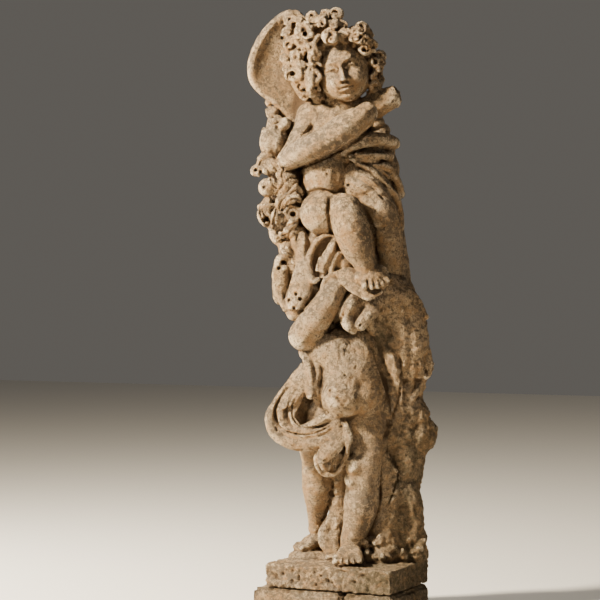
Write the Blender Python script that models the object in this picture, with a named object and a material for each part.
"""Garden statue carved from one block of limestone: a putto sits on the shoulders of a second, standing putto,
with a garland, a blown shell of cloth, a looped swag and a tree stump. It stands on a low course of two stones.

Metres, +Z up. The origin is the centre of the slab's outline, on the underside of the course.
The slab's long front faces -Y, and the figures face round from it by FIGURE_TURN.
"""

import math
import random

import bmesh
import bpy
from mathutils import Euler, Matrix, Vector

# Statue: the figures stand on a slab that is part of the same block
FIGURE_HEIGHT = 1.378       # slab top to the highest curl
SLAB_LENGTH = 0.340
SLAB_DEPTH = 0.245
SLAB_THICKNESS = 0.059
SLAB_ARRIS = 0.004          # worn rounding of the slab's edges
FIGURE_TURN = math.radians(24.5)

# Course of two stones under the slab
COURSE_HEIGHT = 0.070
COURSE_REACH_LEFT = 0.036   # past the slab's left end
COURSE_REACH_RIGHT = 0.005
COURSE_REACH_SIDE = 0.006   # past the slab's front and back
COURSE_JOINT_AT = 0.042     # right of the slab's middle
COURSE_ARRIS = 0.009
BED_GAP = 0.0003            # between stones that touch

# Carving grain: one skin is drawn over the roughed-out shapes at this pitch, then thinned to broad facets
SKIN_PITCH = 0.0050
SKIN_SOFTENING = 3          # passes that round the meeting lines of the shapes
FACET_SHARE = 0.042         # share of the skin's faces that is kept

# The figures are set out in parts, as on a squared drawing: 551 parts to the figures' height.
# A place is (right of the plumb line, towards the front, above the slab's top).
PARTS_HIGH = 551.0
PART = FIGURE_HEIGHT / PARTS_HIGH
SLAB_TOP = SLAB_THICKNESS

TUBE_SIDES = 12
STATIONS_PER_SPAN = 5
STONE_COLOUR = (0.56, 0.46, 0.34, 1.0)
COURSE_COLOUR = (0.50, 0.42, 0.32, 1.0)


def clear_scene():
    for thing in list(bpy.data.objects):
        bpy.data.objects.remove(thing)


def stone(name, colour):
    material = bpy.data.materials.new(name)
    material.use_nodes = True
    shader = material.node_tree.nodes["Principled BSDF"]
    shader.inputs["Base Color"].default_value = colour
    shader.inputs["Roughness"].default_value = 0.9
    shader.inputs["Metallic"].default_value = 0.0
    return material


def place(right, front, up):
    """A place in parts, in the figures' own frame in metres."""
    return Vector((right * PART, -front * PART, SLAB_TOP + up * PART))


def smooth_path(knots):
    """Stations along a smooth line through knots of (right, front, up, radius): Catmull-Rom, in parts."""
    if len(knots) == 2:
        return [
            tuple(a + (b - a) * i / STATIONS_PER_SPAN for a, b in zip(*knots))
            for i in range(STATIONS_PER_SPAN + 1)
        ]
    stations = []
    last = len(knots) - 1
    for span in range(last):
        before = knots[max(span - 1, 0)]
        start = knots[span]
        end = knots[span + 1]
        after = knots[min(span + 2, last)]
        for i in range(STATIONS_PER_SPAN):
            t = i / STATIONS_PER_SPAN
            stations.append(tuple(
                0.5 * (2 * p1 + (p2 - p0) * t + (2 * p0 - 5 * p1 + 4 * p2 - p3) * t * t
                       + (3 * p1 - p0 - 3 * p2 + p3) * t ** 3)
                for p0, p1, p2, p3 in zip(before, start, end, after)
            ))
    stations.append(tuple(knots[last]))
    return stations


class Clay:
    """Closed shells that overlap, gathered as points and faces until one skin is drawn over them all."""

    def __init__(self):
        self.points = []
        self.faces = []
        egg = bmesh.new()
        bmesh.ops.create_icosphere(egg, subdivisions=3, radius=1.0)
        self.egg_points = [vert.co.copy() for vert in egg.verts]
        self.egg_faces = [[vert.index for vert in face.verts] for face in egg.faces]
        egg.free()

    def add(self, points, faces):
        first = len(self.points)
        self.points.extend(points)
        self.faces.extend([[first + i for i in face] for face in faces])


def ball(clay, centre, radii, tilt=(0, 0, 0)):
    """An egg of stone. radii are along right, front and up; tilt is in degrees about those lines."""
    if not hasattr(radii, "__len__"):
        radii = (radii, radii, radii)
    turn = Euler([math.radians(t) for t in tilt]).to_matrix()
    shape = turn @ Matrix.Diagonal([r * PART for r in radii])
    middle = place(*centre)
    clay.add([middle + shape @ point for point in clay.egg_points], clay.egg_faces)


def limb(clay, knots, thin=1.0, facing=(0, 1, 0)):
    """A tapering length through knots of (right, front, up, radius). thin flattens it towards facing, as cloth is."""
    stations = smooth_path(knots)
    points = [place(*s[:3]) for s in stations]
    radii = [max(s[3], 0.4) * PART for s in stations]
    toward = Vector((facing[0], -facing[1], facing[2])).normalized()
    across_before = None
    skin = []
    faces = []
    for i, centre in enumerate(points):
        along = (points[min(i + 1, len(points) - 1)] - points[max(i - 1, 0)]).normalized()
        deep = toward - along * toward.dot(along)
        if deep.length < 0.15 and across_before is not None:
            deep = across_before - along * across_before.dot(along)
        elif deep.length < 0.15:
            deep = along.orthogonal()
        deep.normalize()
        if across_before is not None and deep.dot(across_before) < 0:
            deep.negate()
        across_before = deep
        wide = along.cross(deep)
        for side in range(TUBE_SIDES):
            angle = 2 * math.pi * side / TUBE_SIDES
            offset = wide * math.cos(angle) + deep * (math.sin(angle) * thin)
            skin.append(centre + offset * radii[i])
    for lower in range(0, len(skin) - TUBE_SIDES, TUBE_SIDES):
        upper = lower + TUBE_SIDES
        for side in range(TUBE_SIDES):
            after = (side + 1) % TUBE_SIDES
            faces.append((lower + side, lower + after, upper + after, upper + side))
    faces.append(range(TUBE_SIDES - 1, -1, -1))
    faces.append(range(len(skin) - TUBE_SIDES, len(skin)))
    clay.add(skin, faces)
    if thin == 1.0:
        for knot in (knots[0], knots[-1]):
            ball(clay, knot[:3], knot[3])


def sheet(clay, edge_a, edge_b, thickness, bulge=0.0, facing=(0, 1, 0)):
    """Cloth between two edges of (right, front, up), bulging towards facing halfway across, in parts."""
    steps = 6
    rows_a = smooth_path([(*p, 0) for p in edge_a])
    rows_b = smooth_path([(*p, 0) for p in edge_b])
    half = Vector(facing).normalized() * (thickness / 2)
    points, faces = [], []
    for a, b in zip(rows_a, rows_b):
        start, end = Vector(a[:3]), Vector(b[:3])
        for i in range(steps + 1):
            t = i / steps
            middle = start.lerp(end, t) + half.normalized() * (bulge * math.sin(math.pi * t))
            points.extend((place(*(middle + half)), place(*(middle - half))))
    wide = 2 * (steps + 1)
    rows = len(rows_a)
    for i in range(rows - 1):
        for j in range(0, wide - 2, 2):
            near = i * wide + j
            far = near + wide
            faces.append((near, far, far + 2, near + 2))
            faces.append((near + 1, near + 3, far + 3, far + 1))
        for near in (i * wide, i * wide + wide - 2):
            faces.append((near, near + 1, near + wide + 1, near + wide))
    for j in range(0, wide - 2, 2):
        for near in (j, (rows - 1) * wide + j):
            faces.append((near, near + 2, near + 3, near + 1))
    clay.add(points, faces)


def curl(clay, centre, outward, size, turns=1.3, start=0.0):
    """A snail curl: a tube wound inwards about outward, on a bed of hair."""
    axis = Vector(outward).normalized()
    side = axis.orthogonal().normalized()
    up = axis.cross(side)
    middle = Vector(centre)
    knots = []
    count = 7
    for i in range(count):
        t = i / (count - 1)
        angle = start + 2 * math.pi * turns * t
        reach = size * (0.66 - 0.40 * t)
        rise = size * (0.10 + 0.25 * t)
        point = middle + side * (reach * math.cos(angle)) + up * (reach * math.sin(angle)) + axis * rise
        knots.append((*point, size * (0.36 - 0.06 * t)))
    limb(clay, knots)
    ball(clay, middle - axis * (size * 0.3), size * 0.72)


# Slab and the rising ground on it


def slab(clay):
    turn = Matrix.Rotation(-FIGURE_TURN, 3, "Z")
    corners = []
    for right in (-0.5, 0.5):
        for back in (-0.5, 0.5):
            for up in (0, 1):
                corners.append(turn @ Vector((right * SLAB_LENGTH, back * SLAB_DEPTH, up * SLAB_THICKNESS)))
    clay.add(corners, ((0, 1, 3, 2), (4, 6, 7, 5), (0, 4, 5, 1), (2, 3, 7, 6), (0, 2, 6, 4), (1, 5, 7, 3)))
    ball(clay, (-34, -36, -6), (26, 30, 15))
    ball(clay, (-12, -26, -4), (22, 22, 12))
    ball(clay, (40, -12, -3), (36, 24, 12))


# Standing putto


def foot(clay, heel, toes_at, width, toe_radius, big_toe_side):
    """A bare foot from heel to toes. big_toe_side is 1 where the great toe is on the right as seen."""
    heel, ahead = Vector(heel), Vector(toes_at)
    along = ahead - heel
    level = Vector((along.x, along.y, 0)).normalized()
    across = Vector((level.y, -level.x, 0)) * (1 if level.y >= 0 else -1)
    if across.x < 0:
        across.negate()
    ball_of_foot = heel.lerp(ahead, 0.72)
    for share in (-0.5, 0.0, 0.5):
        knob = ball_of_foot + across * (width * share * 0.62)
        limb(clay, [(*heel, width * 0.36), (*(heel.lerp(knob, 0.6) + Vector((0, 0, 2.5))), width * 0.32),
                    (*knob, width * 0.24)])
    for toe in range(5):
        share = (toe - 2) / 2 * big_toe_side
        thick = toe_radius * (1.35 if toe == 4 else 1.0 - 0.05 * (4 - toe))
        root = ball_of_foot + across * (width * 0.46 * share)
        tip = ahead + across * (width * 0.46 * share) - level * (abs(toe - 3) * toe_radius * 0.45)
        limb(clay, [(*root, thick), (*tip, thick * 0.9)])


def standing_putto(clay):
    ball(clay, (10, -2, 143), (33, 28, 26))
    ball(clay, (6, 4, 166), (33, 29, 30))
    ball(clay, (-1, 0, 190), (32, 26, 30))
    ball(clay, (-7, -1, 211), (35, 25, 27))
    ball(clay, (-20, 11, 214), (17, 13, 15))
    ball(clay, (9, 10, 214), (16, 12, 15))
    ball(clay, (-12, 22, 163), (16, 13, 20))
    limb(clay, [(17, -2, 146, 25), (19, 6, 122, 22), (14, 12, 99, 17), (13, 9, 72, 18.5),
                (8, 6, 45, 14.5), (3, 7, 19, 11.5)])
    ball(clay, (9, 22, 100), (9, 7, 10))
    ball(clay, (8, 20, 88), (8, 6, 6))
    foot(clay, (6, 2, 9), (0, 38, 4.5), 28, 4.0, -1)
    limb(clay, [(-18, -6, 148, 25), (-29, -13, 118, 20), (-32, -17, 89, 14), (-31, -30, 65, 15.5),
                (-31, -38, 42, 10.5), (-31, -41, 28, 8.5)])
    ball(clay, (-36, -8, 91), (8, 8, 9))
    foot(clay, (-27, -44, 15), (-51, -35, 12), 19, 3.2, -1)
    limb(clay, [(-16, -2, 221, 18), (-34, 6, 218, 15), (-47, 13, 221, 13.5)])
    limb(clay, [(-47, 14, 222, 13.5), (-28, 22, 245, 14), (-17, 22, 260, 12), (-10, 17, 276, 10.5)])
    ball(clay, (-8, 12, 286), (10, 9, 10))
    limb(clay, [(-16, -8, 226, 17), (-34, -6, 252, 17)])
    limb(clay, [(18, -8, 220, 18), (30, -8, 244, 16), (24, -6, 280, 15)])


def bowed_head(clay):
    """The standing putto's head, bowed under the load and weathered back to the stone."""
    ball(clay, (-42, -4, 266), (24, 24, 32), (0, 12, 0))
    ball(clay, (-50, 10, 266), (13, 10, 24), (0, 16, 0))
    ball(clay, (-53, 8, 255), (10, 10, 10))
    limb(clay, [(-34, 14, 256, 4), (-30, 16, 266, 4.5), (-35, 16, 274, 4), (-39, 15, 268, 3)])
    limb(clay, [(-47, 4, 304, 5), (-62, 8, 302, 6), (-69, 8, 292, 4), (-65, 8, 280, 3.5), (-65, 7, 262, 3.5)])
    for step in range(4):
        ball(clay, (-60 - 3 * step, 8, 303 - 5 * step), 5)


# Cloth


def swag(clay):
    """Three folds of the looped sash, one inside the next, and the cloth behind them."""
    folds = (
        ((0, 26, 143), (-9, 26, 131), (-25, 24, 121), (-44, 20, 118), (-62, 16, 122), (-75, 13, 132),
         (-79, 11, 145), (-74, 10, 163), (-60, 9, 184), (-44, 10, 201)),
        ((-3, 28, 146), (-19, 28, 135), (-34, 25, 129), (-49, 22, 129), (-61, 19, 135), (-68, 17, 146),
         (-65, 15, 160), (-54, 14, 178), (-42, 14, 196)),
        ((-8, 28, 150), (-20, 28, 143), (-34, 25, 139), (-46, 22, 139), (-54, 20, 147), (-55, 18, 157),
         (-48, 16, 170), (-40, 16, 190)),
    )
    for fold, radius in zip(folds, (5.2, 5.6, 5.0)):
        last = len(fold) - 1
        knots = [(*p, radius * (0.62 + 0.38 * math.sin(math.pi * i / last))) for i, p in enumerate(fold)]
        limb(clay, knots)
    sheet(clay, [(-44, 2, 199), (-60, 2, 178), (-70, 4, 150), (-58, 8, 128), (-30, 12, 124), (-6, 16, 138)],
          [(-40, 4, 188), (-48, 6, 168), (-54, 8, 152), (-46, 12, 140), (-28, 16, 138), (-6, 20, 148)], 9)
    limb(clay, [(-45, 12, 203, 4), (-39, 17, 188, 5.5), (-36, 20, 172, 5.5), (-37, 22, 166, 6.5),
                (-31, 20, 157, 4)])
    limb(clay, [(-30, 16, 196, 4), (-39, 17, 186, 4.5)])


def hanging_end(clay):
    """The sash's free end: a bell of cloth with its mouth to the front."""
    limb(clay, [(-10, 24, 138, 7), (-15, 18, 118, 12), (-17, 15, 103, 14), (-19, 15, 93, 9)], thin=0.55)
    limb(clay, [(-9, 27, 138, 6), (-20, 27, 122, 6.5), (-27, 26, 107, 4), (-28, 26, 98, 3.5), (-22, 26, 88, 3.2),
                (-12, 25, 91, 3.2), (-4, 24, 103, 3.4), (-1, 22, 116, 4), (-3, 22, 132, 5)])
    for pleat in range(4):
        across = -21 + 4.5 * pleat
        limb(clay, [(-12 + 1.5 * pleat, 21, 120, 1.8), (across, 23, 92 + 2.2 * pleat, 2.2)])
    limb(clay, [(0, 24, 140, 4), (2, 26, 128, 5), (0, 20, 112, 2.5)])


def shoulder_cloth(clay):
    """Cloth that falls from the seat over the far shoulder, down the right side."""
    limb(clay, [(40, 14, 276, 12), (54, 12, 256, 15), (58, 8, 228, 16), (60, 4, 200, 16), (62, 0, 178, 11)])
    limb(clay, [(54, -6, 280, 12), (64, -8, 258, 13), (68, -8, 230, 14), (72, -8, 204, 13), (70, -8, 184, 9)])
    limb(clay, [(34, 8, 236, 5), (38, 10, 212, 7), (45, 9, 186, 7), (51, 6, 165, 6), (48, 6, 140, 6)])
    limb(clay, [(76, -2, 236, 5), (83, 0, 218, 5.5), (82, 2, 204, 3.5)])
    limb(clay, [(62, 2, 186, 10), (54, 4, 160, 10), (46, 4, 134, 11), (42, 2, 106, 11), (42, 1, 80, 10),
                (39, 2, 56, 5)], thin=0.6)
    limb(clay, [(40, 8, 112, 3), (51, 5, 96, 3.5), (50, 5, 76, 3.5), (39, 6, 52, 3)])
    limb(clay, [(4, 16, 268, 4), (0, 18, 252, 5), (6, 20, 236, 6)])
    limb(clay, [(22, 18, 268, 5), (16, 22, 252, 7), (12, 24, 238, 6.5)])
    limb(clay, [(10, 10, 280, 14), (26, 8, 262, 16), (42, 4, 240, 16)])


def foot_cloth(clay):
    """The pointed edge of cloth under the seated putto's foot, and the fold gripped beside it."""
    sheet(clay, [(-12, 22, 300), (6, 24, 302), (24, 24, 300), (44, 14, 300)],
          [(-24, 24, 278), (-2, 31, 272), (19, 36, 262), (46, 26, 277)], 7, 3)
    limb(clay, [(-25, 24, 277, 2.6), (-10, 28, 284, 2.8), (-2, 31, 272, 2.6), (19, 37, 262, 2.8),
                (30, 34, 268, 2.6), (46, 26, 277, 2.6)])
    ball(clay, (-27, 8, 302), (14, 10, 25), (0, 18, 0))
    limb(clay, [(-14, 20, 326, 3), (-26, 20, 321, 3.4), (-35, 20, 310, 3.4), (-38, 20, 298, 3.4),
                (-36, 21, 288, 3.4), (-32, 22, 279, 3.4)])
    limb(clay, [(-13, 22, 322, 4), (-18, 24, 308, 5.5), (-22, 24, 296, 5)])
    for finger in range(3):
        limb(clay, [(-24 + 4 * finger, 27, 301 - finger, 2.3), (-26 + 4 * finger, 27, 290 - finger, 2.2)])
    ball(clay, (0, 16, 300), (16, 12, 14))


# Seated putto


def seated_putto(clay):
    ball(clay, (2, -6, 356), (36, 26, 28))
    ball(clay, (18, 0, 385), (28, 24, 42))
    limb(clay, [(2, -4, 356, 25), (-14, 8, 350, 23), (-24, 17, 347, 21.5)])
    limb(clay, [(-5, 26, 350, 13), (-1, 28, 344, 16.5), (5, 30, 331, 18.5), (8, 30, 316, 17.5),
                (15, 29, 302, 13.5), (21, 28, 291, 10.5)])
    foot(clay, (18, 24, 282), (37, 43, 277), 19, 3.3, 1)
    limb(clay, [(4, -4, 362, 25), (20, 6, 362, 21), (30, 14, 353, 17.5), (34, 11, 338, 17), (38, 5, 314, 16),
                (40, 0, 290, 14)])
    ball(clay, (-21, 7, 379), (22, 20, 27))
    ball(clay, (16, 8, 378), (27, 20, 20))
    ball(clay, (-12, 4, 406), (29, 21, 26))
    ball(clay, (-10, 2, 434), (34, 24, 25))
    limb(clay, [(-36, -2, 442, 15), (-12, -2, 448, 17), (14, -2, 446, 15)])
    limb(clay, [(-36, 0, 443, 15.5), (-48, 8, 424, 13.5), (-56, 17, 404, 12.5)])
    limb(clay, [(-56, 18, 402, 12.5), (-32, 33, 415, 13.8), (-6, 37, 430, 12.8), (11, 33, 441, 11),
                (20, 26, 448, 9)])
    limb(clay, [(16, 2, 446, 15), (32, 7, 457, 12.2), (43, 9, 463, 10.4)])
    limb(clay, [(43, 9, 463, 10.4), (49, 10, 465, 9.2)], thin=0.96)
    limb(clay, [(-8, -4, 444, 18), (-6, 2, 466, 16)])
    ball(clay, (34, -6, 400), (16, 20, 34))
    limb(clay, [(8, 26, 408, 5.5), (26, 22, 412, 7), (41, 11, 417, 7), (46, -6, 417, 7)])
    limb(clay, [(14, 26, 401, 4.5), (26, 23, 402, 5.5), (38, 15, 404, 5.5), (45, 0, 405, 6)])
    limb(clay, [(16, 25, 393, 4), (33, 21, 389, 6), (46, 9, 388, 6.5), (50, -8, 390, 7)])
    limb(clay, [(32, 20, 378, 5), (44, 12, 374, 7), (51, -2, 366, 7), (50, -10, 350, 8)])


HEAD = (-4, 9, 487)
HEAD_LEAN = -10             # top of the head towards the left, as seen
HEAD_RADII = (25.5, 27, 31.5)


def on_head(right, front, up):
    """A place set out on the upright head, carried to where the head leans."""
    lean = Matrix.Rotation(math.radians(HEAD_LEAN), 3, "Y")
    return tuple(Vector(HEAD) + lean @ Vector((right, front, up)))


def lifted_head(clay):
    """A plump child's head with a calm, plain face."""
    lean = (0, HEAD_LEAN, 0)
    ball(clay, HEAD, HEAD_RADII, lean)
    for side in (-1, 1):
        ball(clay, on_head(side * 10, 17, -11), (10, 9, 9.5))
        ball(clay, on_head(side * 8.5, 22, 5.5), (5.5, 3, 2.6), lean)
    ball(clay, on_head(0, 20, -25), (7, 6.5, 6))
    ball(clay, on_head(0, 21, 15), (13, 5, 8), lean)
    limb(clay, [(*on_head(0, 25, 5), 2.2), (*on_head(0, 27.5, -4), 2.9)])
    ball(clay, on_head(0, 27.5, -5), (4.6, 3.2, 2.8), lean)
    limb(clay, [(*on_head(-5, 24.5, -13.5), 1.3), (*on_head(0, 27, -13), 1.7), (*on_head(5, 24.5, -13.5), 1.3)])
    limb(clay, [(*on_head(-4, 24.5, -17), 1.4), (*on_head(0, 26, -17.5), 2.0), (*on_head(4, 24.5, -17), 1.4)])


HAIR = (-13, -2, 499)
HAIR_RADII = (42, 34, 44)
HAIR_ROWS = ((38, 9, 8.5), (62, 13, 9.5), (88, 16, 10), (114, 14, 11), (142, 8, 13))
FACE_OPENING = (31, -40, 25)    # half width, lowest and highest places left open, from the head's middle


def hair(clay):
    """Loose curls in rows round a bed of hair, open over the face. Each row is (angle from the front, count, size)."""
    shuffle = random.Random(7)
    half_width, lowest, highest = FACE_OPENING
    ball(clay, (-14, -8, 499), (38, 27, 40))
    for angle, count, size in HAIR_ROWS:
        for step in range(count):
            polar = math.radians(angle + shuffle.uniform(-6, 6))
            around = 2 * math.pi * (step + shuffle.uniform(-0.25, 0.25)) / count
            outward = Vector((math.sin(polar) * math.cos(around), math.cos(polar), math.sin(polar) * math.sin(around)))
            spot = Vector(HAIR) + Vector([r * d for r, d in zip(HAIR_RADII, outward)])
            from_face = spot - Vector(HEAD)
            over_face = abs(from_face.x) < half_width and lowest < from_face.z < highest and from_face.y > -6
            if over_face or spot.z < 464:
                continue
            curl(clay, spot, outward, size * shuffle.uniform(0.85, 1.1), start=shuffle.uniform(0, 2 * math.pi))
    curl(clay, on_head(0, 22, 30), (0, 1, 0.3), 7)
    curl(clay, on_head(-17, 17, 29), (-0.3, 1, 0.3), 7)
    curl(clay, on_head(17, 17, 29), (0.3, 1, 0.3), 7)
    for right, top, low in ((-32, 500, 466), (-44, 508, 468), (25, 502, 470)):
        limb(clay, [(right, 16, top, 5), (right - 5, 19, (2 * top + low) / 3, 5),
                    (right + 3, 19, (top + 2 * low) / 3, 4.5), (right - 1, 16, low, 4)])


def shell(clay):
    """The sweep of cloth blown out behind the head, hollow towards the front, with a thick rolled rim."""
    rim = [(-52, -2, 548), (-70, 2, 539), (-84, 4, 523), (-93, 5, 503), (-95, 5, 486), (-89, 5, 470),
           (-74, 5, 458), (-58, 5, 447), (-44, 4, 436)]
    inner = [(-38, -8, 540), (-46, -10, 528), (-50, -12, 514), (-52, -12, 500), (-52, -12, 488), (-50, -12, 478),
             (-46, -10, 468), (-42, -8, 456), (-38, -4, 440)]
    sheet(clay, rim, inner, 8, -13)
    last = len(rim) - 1
    limb(clay, [(*p, 4.0 + 2.2 * math.sin(math.pi * i / last)) for i, p in enumerate(rim)])


# Garland of fruit and flowers, down the left side


def rose(clay, centre, size, petals=5):
    """Petals as bent rolls round an open heart."""
    middle = Vector(centre)
    ball(clay, middle - Vector((0, size * 0.4, 0)), size * 0.8)
    for step in range(petals):
        angle = 2 * math.pi * step / petals + 0.5
        reach = Vector((math.cos(angle), 0.15, math.sin(angle))) * (size * 0.62)
        side = Vector((-math.sin(angle), 0, math.cos(angle))) * (size * 0.42)
        out = middle + reach
        limb(clay, [(*(out - side), size * 0.2), (*(out + reach * 0.4), size * 0.24), (*(out + side), size * 0.2)])


def bell_flower(clay, centre, size, down):
    """A cup with a collar and a rolled mouth, its mouth towards down."""
    axis = Vector(down).normalized()
    middle = Vector(centre)
    side = axis.orthogonal().normalized()
    other = axis.cross(side)
    limb(clay, [(*(middle - axis * size), size * 0.35), (*middle, size * 0.8), (*(middle + axis * (size * 0.5)), size * 0.75)])
    for reach, radius, thick in ((-0.35, 0.85, 0.2), (0.75, 0.75, 0.22)):
        ring = []
        for step in range(9):
            angle = 2 * math.pi * step / 8
            spot = middle + axis * (size * reach) + (side * math.cos(angle) + other * math.sin(angle)) * (size * radius)
            ring.append((*spot, size * thick))
        limb(clay, ring)


def garland(clay):
    limb(clay, [(-50, -8, 452, 14), (-60, -8, 425, 18), (-64, -6, 400, 19), (-62, -4, 372, 20), (-58, -2, 345, 20),
                (-54, -2, 322, 19), (-50, -4, 300, 20)])
    ball(clay, (-77, 3, 458), 4.8)
    ball(clay, (-73, 3, 449), 5.5)
    ball(clay, (-68, 8, 441), 6.5)
    ball(clay, (-63, 10, 436), (8, 6, 6), (0, 25, 0))
    for lobe in range(5):
        angle = math.radians(-70 + 35 * lobe)
        ball(clay, (-70 + 8 * math.sin(angle), 4 + 6 * math.cos(angle), 419), (8, 8, 14.5))
    rose(clay, (-73, 8, 396), 12)
    curl(clay, (-88, 6, 391), (-0.5, 1, 0), 8)
    ball(clay, (-78, 9, 373), 10)
    ball(clay, (-59, 13, 375), (11, 5, 5.5), (0, -30, 0))
    ball(clay, (-66, 11, 384), (8, 5, 6), (0, 35, 0))
    for reach, thick, height in ((13, 4.4, 355), (7, 3.8, 347)):
        arch = []
        for step in range(7):
            angle = math.radians(-20 + 200 * step / 6)
            arch.append((-54 + reach * math.cos(angle), 14, height + reach * math.sin(angle), thick))
        limb(clay, arch)
    ball(clay, (-54, 8, 346), 11)
    bell_flower(clay, (-80, 9, 350), 11, (-0.35, 0.5, -0.8))
    bell_flower(clay, (-63, 13, 330), 9, (-0.5, 0.6, -0.6))
    ball(clay, (-60, 10, 315), 9.5)
    ball(clay, (-72, 6, 326), 7.5)
    limb(clay, [(-46, 12, 333, 6), (-44, 15, 318, 6), (-48, 14, 303, 6.5), (-46, 12, 290, 6)])
    limb(clay, [(-36, 10, 330, 6), (-34, 12, 316, 6), (-38, 12, 304, 5)])


# Stump, seat and the cloth-covered back that carries the upper figure


def stump(clay):
    limb(clay, [(50, -14, -6, 30), (49, -13, 30, 25), (50, -14, 70, 24), (52, -14, 105, 25), (50, -15, 140, 28),
                (42, -18, 190, 31), (30, -20, 240, 34), (16, -20, 290, 34), (10, -20, 340, 34), (6, -18, 390, 32),
                (0, -14, 430, 24)])
    ball(clay, (69, -8, 128), (21, 18, 24))
    ball(clay, (62, -6, 148), (18, 16, 20))
    limb(clay, [(60, -4, 60, 10), (70, -8, 30, 10), (76, -12, 4, 9)])
    limb(clay, [(32, -2, 50, 8), (26, -2, 22, 8), (22, -2, 0, 9)])
    limb(clay, [(-8, -18, 110, 14), (-9, -20, 70, 10), (-8, -20, 35, 11), (-8, -18, 2, 14)])
    limb(clay, [(-18, -14, 42, 5), (-24, -8, 30, 5), (-24, -2, 18, 5.5), (-16, 3, 8, 5.5)])
    limb(clay, [(-12, -10, 36, 6), (-14, -4, 22, 6), (-10, 2, 10, 6)])
    ball(clay, (-18, 7, 4), 4)
    ball(clay, (-11, 8, 4), 4)
    limb(clay, [(-10, -22, 300, 26), (-14, -20, 260, 22), (0, -20, 220, 24), (6, -18, 180, 24)])


def keep_on_slab(clay):
    """Nothing below the slab's top stands outside the slab, and nothing goes below its underside."""
    turn = Matrix.Rotation(FIGURE_TURN, 3, "Z")
    back = turn.inverted()
    limits = (SLAB_LENGTH / 2, SLAB_DEPTH / 2)
    for i, point in enumerate(clay.points):
        if point.z >= SLAB_TOP:
            continue
        spot = turn @ point
        for axis, limit in enumerate(limits):
            spot[axis] = max(-limit, min(limit, spot[axis]))
        spot.z = max(spot.z, 0.0)
        clay.points[i] = back @ spot


def statue():
    clay = Clay()
    for section in (slab, stump, standing_putto, bowed_head, swag, hanging_end, shoulder_cloth, foot_cloth,
                    seated_putto, lifted_head, hair, shell, garland):
        section(clay)
    keep_on_slab(clay)
    mesh = bpy.data.meshes.new("putti_group")
    mesh.from_pydata(clay.points, [], clay.faces)
    group = bpy.data.objects.new("putti_group", mesh)
    bpy.context.scene.collection.objects.link(group)
    group.location = (0, 0, COURSE_HEIGHT + BED_GAP)
    group.rotation_euler = (0, 0, FIGURE_TURN)
    mesh.materials.append(stone("statue_limestone", STONE_COLOUR))
    skin = group.modifiers.new("one skin", "REMESH")
    skin.mode = "VOXEL"
    skin.voxel_size = SKIN_PITCH
    soften = group.modifiers.new("worn meetings", "SMOOTH")
    soften.factor = 0.5
    soften.iterations = SKIN_SOFTENING
    facets = group.modifiers.new("facets", "DECIMATE")
    facets.ratio = FACET_SHARE
    return group


def course_stone(name, left, right, material):
    """One stone of the course, from left to right of the slab's middle."""
    depth = SLAB_DEPTH + 2 * COURSE_REACH_SIDE
    block = bmesh.new()
    size = Matrix.Diagonal((right - left, depth, COURSE_HEIGHT)).to_4x4()
    centre = Matrix.Translation(((left + right) / 2, 0, COURSE_HEIGHT / 2))
    bmesh.ops.create_cube(block, size=1.0, matrix=centre @ size)
    mesh = bpy.data.meshes.new(name)
    block.to_mesh(mesh)
    block.free()
    body = bpy.data.objects.new(name, mesh)
    bpy.context.scene.collection.objects.link(body)
    mesh.materials.append(material)
    worn = body.modifiers.new("worn arris", "BEVEL")
    worn.width = COURSE_ARRIS
    worn.segments = 2
    worn.limit_method = "ANGLE"
    return body


def course():
    material = stone("course_limestone", COURSE_COLOUR)
    left_end = -SLAB_LENGTH / 2 - COURSE_REACH_LEFT
    right_end = SLAB_LENGTH / 2 + COURSE_REACH_RIGHT
    course_stone("course_left_stone", left_end, COURSE_JOINT_AT - BED_GAP / 2, material)
    course_stone("course_right_stone", COURSE_JOINT_AT + BED_GAP / 2, right_end, material)


clear_scene()
course()
statue()
